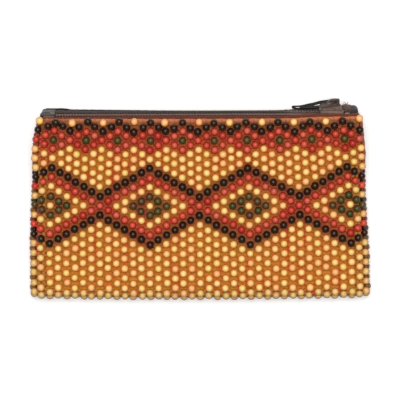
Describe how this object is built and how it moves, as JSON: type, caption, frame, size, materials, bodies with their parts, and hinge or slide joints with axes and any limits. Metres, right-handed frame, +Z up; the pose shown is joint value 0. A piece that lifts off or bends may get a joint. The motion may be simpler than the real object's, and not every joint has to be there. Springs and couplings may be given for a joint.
{
  "type": "zip coin purse",
  "caption": "Flat coin purse of threaded beads with a traditional diamond pattern, lined with cloth and closed along its top by a coil zip with a long pull.",
  "frame": {"origin": "under the middle of the purse, at the level of the surface that it lies on", "axes": "+X along the zip towards the end where the slider stands closed, +Y out of the mouth, +Z up through the front of the purse, which lies on its back"},
  "size_m": [0.1432, 0.085, 0.0168],
  "materials": {
    "cream_beads": "glossy cream resin bead",
    "red_beads": "glossy brick red resin bead",
    "black_beads": "glossy brown-black resin bead",
    "green_beads": "glossy dark olive resin bead",
    "pouch_cloth": "plain weave, salmon orange",
    "side_strip_cloth": "plain weave, maroon brown",
    "tape_weave": "woven zip tape, reddish brown",
    "coil_nylon": "grey-brown nylon",
    "dark_bronze": "dark bronze plating, worn"
  },
  "bodies": {
    "purse": {"front_bead_net": "cream_beads", "back_bead_net": "cream_beads", "cloth_pouch": "pouch_cloth", "left_side_strip": "side_strip_cloth", "right_side_strip": "side_strip_cloth", "front_zip_tape": "tape_weave", "back_zip_tape": "tape_weave", "front_zip_coil": "coil_nylon", "back_zip_coil": "coil_nylon", "front_top_stop": "dark_bronze", "back_top_stop": "dark_bronze", "bottom_stop": "dark_bronze"},
    "slider": {"slider_body": "dark_bronze"},
    "pull": {"slider_pull": "dark_bronze"}
  },
  "joints": [
    {"name": "slider_travel", "type": "slide", "parent": "purse", "child": "slider", "axis": [-1, 0, 0], "range_m": [0, 0.1111]},
    {"name": "pull_swing", "type": "hinge", "parent": "slider", "child": "pull", "pos_m": [0.0573, 0.0408, 0.01053], "axis": [0, 0.342, -0.9397], "range_deg": [-3.4, 187]}
  ]
}
